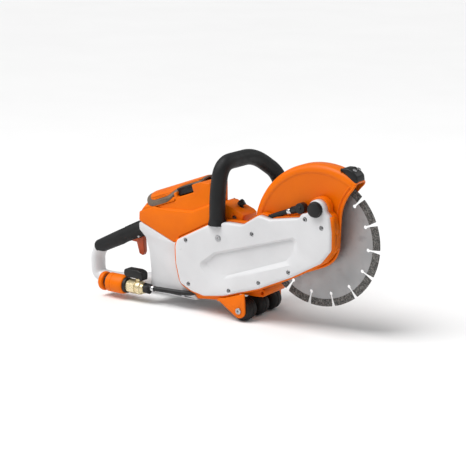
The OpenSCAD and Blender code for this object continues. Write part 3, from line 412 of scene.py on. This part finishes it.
def turnedSolid(profile, centre, axis="y", steps=64, bm=None):
    bm = bm or bmesh.new()  # profile is (radius, place along the axis)
    make = {"y": lambda r, t: spot(centre[0] + r, t, centre[1]), "x": lambda r, t: spot(t, centre[0], centre[1] + r),
            "z": lambda r, t: spot(centre[0] + r, centre[1], t)}[axis]
    middle = {"y": spot(centre[0], 0, centre[1]), "x": spot(0, centre[0], centre[1]),
              "z": spot(centre[0], centre[1], 0)}[axis]
    verts = [bm.verts.new(make(r, t)) for r, t in profile]
    edges = [bm.edges.new((a, b)) for a, b in zip(verts, verts[1:])]
    if profile[0][0] > 0.001:
        edges.append(bm.edges.new((verts[-1], verts[0])))
    direction = {"y": (0, 1, 0), "x": (1, 0, 0), "z": (0, 0, 1)}[axis]
    bmesh.ops.spin(bm, geom=verts + edges, cent=middle, axis=direction, angle=math.tau, steps=steps, use_merge=True)
    bmesh.ops.remove_doubles(bm, verts=bm.verts, dist=0.000002)
    bmesh.ops.recalc_face_normals(bm, faces=bm.faces[:])
    return bm


def routed(points, cut, steps):
    line = [Vector(points[0])]  # each corner becomes a curve
    for k in range(1, len(points) - 1):
        before, here, after = Vector(points[k - 1]), Vector(points[k]), Vector(points[k + 1])
        reach = min(cut, (here - before).length * 0.48, (after - here).length * 0.48)
        start, end = here + (before - here).normalized() * reach, here + (after - here).normalized() * reach
        for step in range(steps + 1):
            t = step / steps
            line.append(start * (1 - t) ** 2 + here * 2 * t * (1 - t) + end * t * t)
    line.append(Vector(points[-1]))
    return line


def swept(line, wide, high, sides=24, across=(0, 1, 0), bm=None, capped=True):
    bm = bm or bmesh.new()  # joins ellipses set along a line; wide lies along the across direction
    normal = Vector(across)
    rings = []
    for k, point in enumerate(line):
        along = (line[min(k + 1, len(line) - 1)] - line[max(k - 1, 0)]).normalized()
        normal = (normal - along * normal.dot(along)).normalized()
        a = wide[k] if isinstance(wide, (list, tuple)) else wide
        b = high[k] if isinstance(high, (list, tuple)) else high
        other = along.cross(normal)
        turn = Matrix((normal, other, along)).transposed().to_4x4()
        matrix = Matrix.Translation(spot(*point)) @ turn @ Matrix.Diagonal((a / 1000, b / 1000, 1, 1))
        ring = bmesh.ops.create_circle(bm, cap_ends=False, radius=1, segments=sides, matrix=matrix)["verts"]
        rings.append(sorted({e for v in ring for e in v.link_edges}, key=lambda e: e.index))
    for first, second in zip(rings, rings[1:]):
        bmesh.ops.bridge_loops(bm, edges=first + second)
    if capped:
        for ring in (rings[0], rings[-1]):
            bmesh.ops.contextual_create(bm, geom=ring)
    bmesh.ops.recalc_face_normals(bm, faces=bm.faces[:])
    return bm


coverLook = {
    "outline": [(-14, 43.8), (-11, 51), (-1, 53), (3, 57), (3.2, 66), (6.7, 73.3), (13.5, 78), (21.8, 78.8),
                (29.3, 75.3), (34, 68.5), (35.5, 60), (44, 52), (48, 26), (48, -4), (29, -28), (-29, -61), (-94, -91),
                (-167, -116), (-211, -123), (-238, -118), (-262, -107), (-271, -71), (-272, -41), (-268, -28),
                (-193, 11), (-160, 17), (-128, 17), (-95, 38), (-72, 34)],
    "near": -46, "far": -34, "edge": 4.6, "corner": 10, "wall": 1.1,
    "recess": [(-221, -65), (-186, -39.5), (-16.5, 12.5), (-16, -26.6), (-30.5, -39.5), (-176.6, -91), (-197, -87)],
    "floor": [(-210, -65.1), (-185.5, -44), (-24.8, 6.5), (-27, -19.4), (-41, -34), (-160, -78), (-186, -77)],
    "recessDepth": 5.2, "recessCorner": 9, "floorCorner": 7,
    "holes": [(30, 33), (-33, -52), (-1.5, 43.4), (-107, 4), (-93, -80), (-155, -104), (-242, -105), (-247, -26)],
    "holeRadius": 4.2, "holeDepth": 4.5,
    "dial": (-177, -13), "dialRadius": 6.4, "dialDepth": 0.8,
}


def makeBeltCover(look):
    bm = slab(look["outline"], look["far"], look["near"], look["corner"], look["edge"], 5)
    near = sideFace(bm, -1)
    rim = near.edges[:]
    bmesh.ops.delete(bm, geom=[near], context="FACES_ONLY")
    borders = list(rim)

    outer = drawFace(bm, look["recess"], look["near"], look["recessCorner"])
    outerEdges = outer.edges[:]
    bmesh.ops.delete(bm, geom=[outer], context="FACES_ONLY")
    inner = drawFace(bm, look["floor"], look["near"] + look["recessDepth"], look["floorCorner"])
    innerEdges = inner.edges[:]
    bmesh.ops.bridge_loops(bm, edges=outerEdges + innerEdges)
    borders += outerEdges

    turn = Matrix.Rotation(math.radians(90), 4, "X")
    pits = [(at, look["holeRadius"], look["holeDepth"]) for at in look["holes"]]
    for at, radius, deep in pits + [(look["dial"], look["dialRadius"], look["dialDepth"])]:
        ring = bmesh.ops.create_circle(bm, cap_ends=False, radius=radius / 1000, segments=24,
                                       matrix=Matrix.Translation(spot(at[0], look["near"], at[1])) @ turn)["verts"]
        mouth = list({e for v in ring for e in v.link_edges})
        borders += mouth
        grown = bmesh.ops.extrude_edge_only(bm, edges=mouth)["geom"]
        pull(bm, grown, y=deep)
        bmesh.ops.contextual_create(bm, geom=[e for e in grown if isinstance(e, bmesh.types.BMEdge)])
    bmesh.ops.triangle_fill(bm, use_beauty=True, use_dissolve=False, edges=borders, normal=(0, -1, 0))
    bmesh.ops.recalc_face_normals(bm, faces=bm.faces[:])
    bmesh.ops.delete(bm, geom=[sideFace(bm, 1)], context="FACES_ONLY")
    cover = settle("beltCover", bm, "saw", "white_shell", ["belt_cover"], sharp=24)
    addWall(cover, look["wall"], -1)


rimLook = {
    "line": [(44, 52), (48, 26), (48, -4), (29, -28), (-29, -61), (-94, -91), (-167, -116), (-211, -123), (-238, -118),
             (-262, -107), (-271, -71), (-272, -41), (-268, -28)],
    "cut": 9, "far": -30, "near": -42, "thick": 5.2,
}


def makeCoverRim(look):
    bm = bmesh.new()  # the arm's orange lip, which shows round the cover
    line = routed([(x, look["far"], z) for x, z in look["line"]], look["cut"], 4)
    verts = [bm.verts.new(spot(*p)) for p in line]
    edges = [bm.edges.new(pair) for pair in zip(verts, verts[1:])]
    grown = bmesh.ops.extrude_edge_only(bm, edges=edges)["geom"]
    pull(bm, grown, y=look["near"] - look["far"])
    bmesh.ops.recalc_face_normals(bm, faces=bm.faces[:])
    rim = settle("coverRim", bm, "saw", "orange_metal", sharp=40)
    addWall(rim, look["thick"], 0)


makeBeltCover(coverLook)
makeCoverRim(rimLook)
print("belt cover made")

guardLook = {
    "middle": (5, 3),
    "section": [(12, -16.6), (112, -16.6), (113.6, -16.9), (115, -17.7), (116.6, -18), (119, -17.9), (122, -17.2),
                (124.8, -15.8), (127, -13.6), (128.4, -11), (129, -8), (129, 8), (128.4, 11), (127, 13.6),
                (124.8, 15.8), (122, 17.2), (119, 17.9), (116.6, 18), (115, 17.7), (113.6, 16.9), (112, 16.6),
                (12, 16.6), (12, 14.6), (120, 14.6), (123.4, 13.4), (125.4, 11), (126, 8), (126, -8), (125.4, -11),
                (123.4, -13.4), (120, -14.6), (12, -14.6)],
    "edge": [(74.5, 101), (58, 82), (49, 58), (47, 19), (46, -9), (38, -26), (24, -37), (-29, -61), (-94, -92)],
    "beyond": [(-128, -108), (-128, -160), (200, -160), (200, 150), (110, 150)], "tip": (80, 112), "corner": 5,
    "hub": 24.05, "leftLow": 8, "leftClear": 48, "leftFrom": 12.5, "away": 40, "wide": 170,
}


def cutWith(piece, cutter, way="DIFFERENCE"):
    cut = piece.modifiers.new("cut", "BOOLEAN")
    cut.operation, cut.solver, cut.object = way, "EXACT", cutter
    shaped = bpy.data.meshes.new_from_object(piece.evaluated_get(bpy.context.evaluated_depsgraph_get()))
    piece.modifiers.remove(cut)
    piece.data = shaped
    spare = cutter.data
    bpy.data.objects.remove(cutter)
    bpy.data.meshes.remove(spare)


def looseObject(name, bm):
    data = bpy.data.meshes.new(name)
    bm.to_mesh(data)
    bm.free()
    piece = bpy.data.objects.new(name, data)
    bpy.context.scene.collection.objects.link(piece)
    return piece


def lift(piece):  # takes a cut shape back into a bmesh
    bm = bmesh.new()
    bm.from_mesh(piece.data)
    bpy.data.objects.remove(piece)
    bmesh.ops.remove_doubles(bm, verts=bm.verts, dist=mergeReach)
    return bm


def makeGuard(look):
    guard = looseObject("guardBlank", turnedSolid(look["section"], look["middle"], "y", 120))
    away, wide = look["away"], look["wide"]
    front = [look["tip"], *look["edge"], *look["beyond"]]
    cutWith(guard, looseObject("frontCut", slab(front, -away, away, look["corner"], 0)))
    low = [(-wide, look["leftLow"]), (wide, look["leftLow"]), (wide, -wide), (-wide, -wide)]
    cutWith(guard, looseObject("lowCut", slab(low, look["leftFrom"], away, 0, 0)))
    for radius, start, end in ((look["hub"], -away, 0), (look["leftClear"], look["leftFrom"], away)):
        plug = turnedSolid([(0, start), (radius, start), (radius, end), (0, end)], (0, 0), "y", 72)
        cutWith(guard, looseObject("hubCut", plug))
    settle("guardShell", lift(guard), "guard", "orange_metal", ["guard_shell"], sharp=30, bevel=0.6)


makeGuard(guardLook)

lipLook = {
    "line": [(75.5, 104), (59, 83), (49.6, 58.5), (47.8, 20), (46.8, -9), (38.6, -26), (24.4, -37), (-29, -59.5)],
    "cut": 12, "y": -16.4, "radius": 2.3, "second": 6.4, "secondShare": 0.75, "secondRise": 0.3,
}


def makeGuardLip(look):
    bm = bmesh.new()  # two beads beside the guard's front edge
    for reach, radius in ((0, look["radius"]), (look["second"], look["radius"] * look["secondShare"])):
        rise = reach * look["secondRise"]
        line = routed([(x - reach, look["y"], z + rise) for x, z in look["line"]], look["cut"], 6)
        swept(line, radius, radius, 12, (0, 1, 0), bm)
    settle("guardLip", bm, "guard", "orange_metal", sharp=50)


makeGuardLip(lipLook)

leverLook = {
    "outline": [(43, 126.5), (50, 130), (60, 130.2), (69, 126.4), (76.5, 119), (78, 110), (74.4, 104), (69.5, 105.5),
                (65, 112), (57, 118.5)],
    "far": 11, "near": -15, "corner": 5, "edge": 2.6, "edgeSteps": 4, "bevel": 1.4,
}


def makeGuardLever(look):
    bm = slab(look["outline"], look["far"], look["near"], look["corner"], look["edge"], look["edgeSteps"])
    settle("guardLever", bm, "guard", "dark_plastic", ["guard_grip"], sharp=30, bevel=look["bevel"], segments=3)


makeGuardLever(leverLook)
print("guard made")

handleLook = {
    "line": [(-184, -38, 6), (-184, -38, 60), (-175, -38, 118), (-175, 62, 118), (-156, 108, 82), (-150, 118, 50),
             (-150, 118, -52), (-152, 62, -72)],
    "cut": 30, "steps": 12, "sleeve": 14, "tube": 9,
    "startShare": 0.1, "endShare": 0.4, "tailShare": 0.08,
    "foot": [16.6, 16.2, 15.0, 14.2, 14], "footShares": (0.05, 0.3, 0.36, 0.6), "tail": [13.2, 12],
}


def makeFrontHandle(look):
    line = routed(look["line"], look["cut"], look["steps"])
    inner = line[1:-1]
    start = line[0].lerp(line[1], look["startShare"])
    end = line[-1].lerp(line[-2], look["endShare"])
    lower = [start, *[start.lerp(inner[0], t) for t in look["footShares"]]]
    sleeve = lower + inner + [end.lerp(inner[-1], look["tailShare"]), end]
    wide = look["foot"] + [look["sleeve"]] * len(inner) + look["tail"]
    bm = swept(sleeve, wide, wide, 32)
    settle("frontHandleSleeve", bm, "saw", "grip_rubber", ["front_handle_grip", "front_handle_collar"], sharp=40)
    bm = swept(line, look["tube"], look["tube"], 24)
    settle("frontHandleTube", bm, "saw", "bright_steel", ["front_handle_tube"], sharp=40)


makeFrontHandle(handleLook)

rearLook = {
    "loop": [(-491.5, 16, -82), (-503.5, 16, -100), (-503.5, 16, -142), (-470, 16, -144), (-425, 16, -140),
             (-325, 16, -122)],
    "cut": 22, "steps": 8, "wide": 15, "high": 12.5,
    "pad": [(-484, -157), (-440, -157), (-440, -149), (-484, -149)], "padFar": 26, "padNear": 6, "padCorner": 2,
    "padEdge": 0.6,
}


def makeRearHandle(look):
    bm = swept(routed(look["loop"], look["cut"], look["steps"]), look["wide"], look["high"], 32)
    pad = slab(look["pad"], look["padFar"], look["padNear"], look["padCorner"], look["padEdge"])
    padData = bpy.data.meshes.new("pad")
    pad.to_mesh(padData)
    pad.free()
    bm.from_mesh(padData)
    settle("rearLoop", bm, "saw", "white_shell", ["rear_loop"], sharp=40)


makeRearHandle(rearLook)
refined("rear_grip", "rearGrip", bevel=1.2, segments=3)
print("handles made")

# These keep the frame's shape, with softened edges

softEdges = {  # the new name and how far the edges are rounded
    "arm_frame": ("armFrame", 0.8), "housing_right": ("housingRight", 1.5), "housing_left": ("housingLeft", 1.5),
    "filter_latch": ("filterLatch", 0.5), "guard_clamp_knob": ("clampKnob", 0.8),
    "battery_lock_right": ("lockRight", 0.5), "battery_lock_left": ("lockLeft", 0.5),
    "roller_brackets": ("rollerBrackets", 0.8), "hose_elbow": ("hoseElbow", 0.8), "hose_nut": ("hoseNut", 0.6),
    "trigger": ("fingerTrigger", 0.8), "lockout_lever": ("palmLever", 0.8), "arbor_bolt": ("arborBolt", 0.4),
    "outer_flange": ("outerFlange", 0.4), "guard_grip_screws": ("leverScrews", 0.3),
    "hose_ferrules": ("hoseFerrules", 0.3), "roller_axle": ("rollerAxle", 0.3),
    "cover_screws": ("coverScrews", 0.2), "housing_screws": ("housingScrews", 0.3),
    "belt_tensioner": ("beltTensioner", 0.3),
}
for node, (name, width) in softEdges.items():
    refined(node, name, bevel=width)

hoseLook = {
    "line": [(-327, -45, -127), (-293, -44, -126), (-262, -41, -126), (-236, -38, -124), (-221, -31, -110),
             (-226, -29.5, -92), (-240, -29.5, -60), (-222, -29.5, -22), (-200, -29.5, -4), (-165, -29.5, -3),
             (-140, -29.5, 0), (-122, -29.5, 9), (-104, -29.5, 20), (-90, -29.5, 30), (-60, -30, 43), (-38, -30, 51)],
    "cut": 14, "radius": 4.5,
}
hose = swept(routed(hoseLook["line"], hoseLook["cut"], 6), hoseLook["radius"], hoseLook["radius"], 20)
settle("waterHose", hose, "saw", "hose_rubber", ["water_hose"], sharp=50)
print("softened pieces made")

batteryLook = {
    "middle": (-295.5, 19, 44.5), "tilt": 20,
    "outline": [(-68, -24), (-60, -41), (-46, -47), (-6, -47), (18, -29.5), (66, -29.5), (66, 29.5), (18, 29.5),
                (-6, 47), (-46, 47), (-60, 41), (-68, 24)],
    "plate": [(-61, -21), (-54, -35), (-43, -40.5), (-9, -40.5), (14, -23.5), (60, -23.5), (60, 23.5), (14, 23.5),
              (-9, 40.5), (-43, 40.5), (-54, 35), (-61, 21)],
    "crown": 64, "height": 16, "bandThick": 3.6, "plateThick": 3.1, "plateRise": 1.2,
    "corner": 12, "plateCorner": 7, "reach": 30, "cutReach": 40, "bandEdge": 1.1, "plateEdge": 1.6,
    "shellCut": [(-95, -70), (5, -70), (12, -40), (12, -29), (12, 29), (12, 40), (5, 70), (-95, 70)],
    "cutFloor": -10.4, "cutTop": 60, "gap": 0.15, "shellEdge": 2.4,
}


def packPlace(look):  # the battery stands tilted, so its pieces are drawn flat and then set in place
    return Matrix.Translation(spot(*look["middle"])) @ Matrix.Rotation(math.radians(-look["tilt"]), 4, "Y")


def packBlock(points, low, high, radius, look):
    bm = bmesh.new()
    bm.faces.new([bm.verts.new((x / 1000, y / 1000, low / 1000)) for x, y in points])
    if radius:
        bmesh.ops.bevel(bm, geom=bm.verts[:], affect="VERTICES", offset=radius / 1000, offset_type="OFFSET",
                        segments=5, profile=0.5, clamp_overlap=True, material=-1)
    pull(bm, bmesh.ops.extrude_face_region(bm, geom=bm.faces[:])["geom"], z=high - low)
    bmesh.ops.recalc_face_normals(bm, faces=bm.faces[:])
    bmesh.ops.transform(bm, matrix=packPlace(look), verts=bm.verts)
    return looseObject("packBlock", bm)


def packCrown(radius, look):
    bm = bmesh.new()
    matrix = (packPlace(look) @ Matrix.Translation((0, 0, (look["height"] - look["crown"]) / 1000))
              @ Matrix.Rotation(math.radians(90), 4, "Y"))
    bmesh.ops.create_cone(bm, cap_ends=True, segments=180, radius1=radius / 1000, radius2=radius / 1000, depth=0.3,
                          matrix=matrix)
    bmesh.ops.recalc_face_normals(bm, faces=bm.faces[:])
    return looseObject("packCrown", bm)


def makeBatteryTop(look):
    reach, cutReach = look["reach"], look["cutReach"]
    band = packBlock(look["outline"], -reach, reach, look["corner"], look)
    cutWith(band, packCrown(look["crown"], look), "INTERSECT")
    cutWith(band, packCrown(look["crown"] - look["bandThick"], look))
    cutWith(band, packBlock(look["plate"], -cutReach, cutReach, look["plateCorner"], look))
    # the band takes the grey-brown painted highlight in place of its black dark_plastic finish
    settle("batteryBand", lift(band), "battery", "dark_plastic", ["battery_rim"], sharp=30, bevel=look["bandEdge"],
           segments=3, material=bandHighlightFinish)
    plate = packBlock(look["plate"], -reach, reach, look["plateCorner"], look)
    cutWith(plate, packCrown(look["crown"] + look["plateRise"], look), "INTERSECT")
    cutWith(plate, packCrown(look["crown"] - look["plateThick"], look))
    settle("batteryPlate", lift(plate), "battery", "orange_shell", ["battery_cap"], sharp=30,
           bevel=look["plateEdge"], segments=3)


def makeTopShell(look):
    shell = looseObject("shellBlank", mergedCopy("top_shell"))
    over = packBlock(look["shellCut"], look["cutFloor"], look["cutTop"], 0, look)
    cutWith(over, packCrown(look["crown"] - look["bandThick"] - look["gap"], look))
    cutWith(shell, over)
    bm = lift(shell)
    bmesh.ops.dissolve_limit(bm, angle_limit=flatAngle, verts=bm.verts, edges=bm.edges)
    settle("topShell", bm, "saw", "orange_shell", ["top_shell"], sharp=30, bevel=look["shellEdge"], segments=3)


lidLook = {"eye": (-162, 20), "eyeRadius": 4.2, "eyeStart": -30, "eyeEnd": -15.6, "edge": 1.8}


def makeFilterLid(look):
    lid = looseObject("lidBlank", mergedCopy("filter_cover"))
    radius, start, end = look["eyeRadius"], look["eyeStart"], look["eyeEnd"]
    eye = turnedSolid([(0, start), (radius, start), (radius, end), (0, end)], look["eye"], "y", 40)
    cutWith(lid, looseObject("eyeCut", eye))
    bm = lift(lid)
    bmesh.ops.dissolve_limit(bm, angle_limit=flatAngle, verts=bm.verts, edges=bm.edges)
    settle("filterLid", bm, "filter_lid", "orange_shell", ["filter_cover"], sharp=30, bevel=look["edge"], segments=3)


makeFilterLid(lidLook)
makeBatteryTop(batteryLook)
makeTopShell(batteryLook)
print("battery top made")

rollerLook = {
    "at": (-134, -137), "starts": {"right": -41, "middle": -1, "left": 39},
    "section": [(4.2, 0), (13, 0), (16.4, 1.2), (18.8, 3.6), (20, 7), (20, 11.4), (18.8, 12.2), (18.8, 13.2),
                (20, 14), (20, 21), (18.8, 24.4), (16.4, 26.8), (13, 28), (4.2, 28)],
}
for side, start in rollerLook["starts"].items():
    section = [(r, start + t) for r, t in rollerLook["section"]]
    settle(side + "GroundRoller", turnedSolid(section, rollerLook["at"], "y", 64), side + "_roller", "roller_plastic",
           ["roller_" + side], sharp=34, bevel=0.4)
print("rollers made")

waterLook = {
    "line": (-45, -130), "stemX": -355,
    "collar": [(8.6, -440), (15, -440), (17, -438.6), (17.8, -436), (17.8, -433), (17, -430.6), (15.4, -429.6),
               (8.6, -429.6)],
    "groove": [(8.6, -429.8), (12.8, -429.8), (12.8, -422.8), (8.6, -422.8)],
    "socket": [(8.6, -423), (16.4, -423), (17.8, -421.6), (17.8, -412), (17, -411), (17, -409.6), (17.8, -408.6),
               (17.8, -392), (17, -387), (15.8, -385), (8.6, -385)],
    "ring": [(8.6, -385.2), (14.4, -385.2), (14.4, -379), (8.6, -379)],
    "neck": [(4, -380), (11, -380), (11, -375), (10.6, -358), (12.4, -357.2), (12.8, -352), (12.4, -347.6),
             (10, -346.8), (9.4, -340), (4, -340)],
    "hexFrom": -375.5, "hexTo": -358.5, "hexRadius": 14.2, "hexTurn": 30,
    "stem": [(0, -122), (5, -122), (5, -117.6), (6.2, -117.2), (6.2, -112.6), (0, -112.6)],
    "lever": [(-383, -99), (-380, -96.8), (-352, -96.6), (-343.4, -99), (-341.2, -104), (-341.6, -114), (-344, -115.6),
              (-347.2, -115.2), (-348.2, -111.8), (-380, -112), (-384, -107)],
    "leverFar": -36.5, "leverNear": -53.5, "leverCorner": 5, "leverEdge": 1.6,
}


def makeWaterFitting(look):
    for name, key, slotName, body, replaced in (
            ("couplingCollar", "collar", "orange_shell", "collar", ["coupling_collar"]),
            ("couplingGroove", "groove", "dark_plastic", "saw", []),
            ("hoseCoupling", "socket", "orange_shell", "saw", ["hose_coupling"]),
            ("couplingRing", "ring", "dark_plastic", "saw", [])):
        settle(name, turnedSolid(look[key], look["line"], "x", 64), body, slotName, replaced, bevel=0.5, sharp=34)
    bm = turnedSolid(look["neck"], look["line"], "x", 48)
    hexMatrix = (Matrix.Translation(spot((look["hexFrom"] + look["hexTo"]) / 2, *look["line"]))
                 @ Matrix.Rotation(math.radians(90), 4, "Y") @ Matrix.Rotation(math.radians(look["hexTurn"]), 4, "Z"))
    hexRadius = look["hexRadius"] / 1000
    bmesh.ops.create_cone(bm, cap_ends=True, segments=6, radius1=hexRadius, radius2=hexRadius,
                          depth=(look["hexTo"] - look["hexFrom"]) / 1000, matrix=hexMatrix)
    turnedSolid(look["stem"], (look["stemX"], look["line"][0]), "z", 32, bm)
    settle("ballValve", bm, "saw", "valve_brass", ["valve_body"], bevel=0.9, segments=3, sharp=34)
    bm = slab(look["lever"], look["leverFar"], look["leverNear"], look["leverCorner"], look["leverEdge"], 3)
    settle("valveLever", bm, "water_valve", "dark_plastic", ["valve_lever"], sharp=34)


makeWaterFitting(waterLook)
print("water fitting made")

segmentLook = {
    "start": 45, "count": 15, "inner": 101.9, "outer": 115, "half": 1.4, "gapIn": 1.7, "gapOut": 3.4, "steps": 10,
}


def makeSegments(look):
    bm = bmesh.new()
    pitch = 360 / look["count"]
    for k in range(look["count"]):
        outline = []
        for radius, gap, order in ((look["inner"], look["gapIn"], 1), (look["outer"], look["gapOut"], -1)):
            edge = math.degrees(gap / radius)
            low, high = look["start"] + k * pitch + edge, look["start"] + (k + 1) * pitch - edge
            arc = [low + (high - low) * step / look["steps"] for step in range(look["steps"] + 1)][::order]
            outline += [(radius * math.cos(math.radians(a)), radius * math.sin(math.radians(a))) for a in arc]
        face = drawFace(bm, outline, -look["half"])
        pull(bm, bmesh.ops.extrude_face_region(bm, geom=[face])["geom"], y=2 * look["half"])
    bmesh.ops.recalc_face_normals(bm, faces=bm.faces[:])
    settle("gritSegments", bm, "disc", "diamond_grit", ["diamond_segments"], sharp=34, bevel=0.35)


makeSegments(segmentLook)

print("disc segments made")
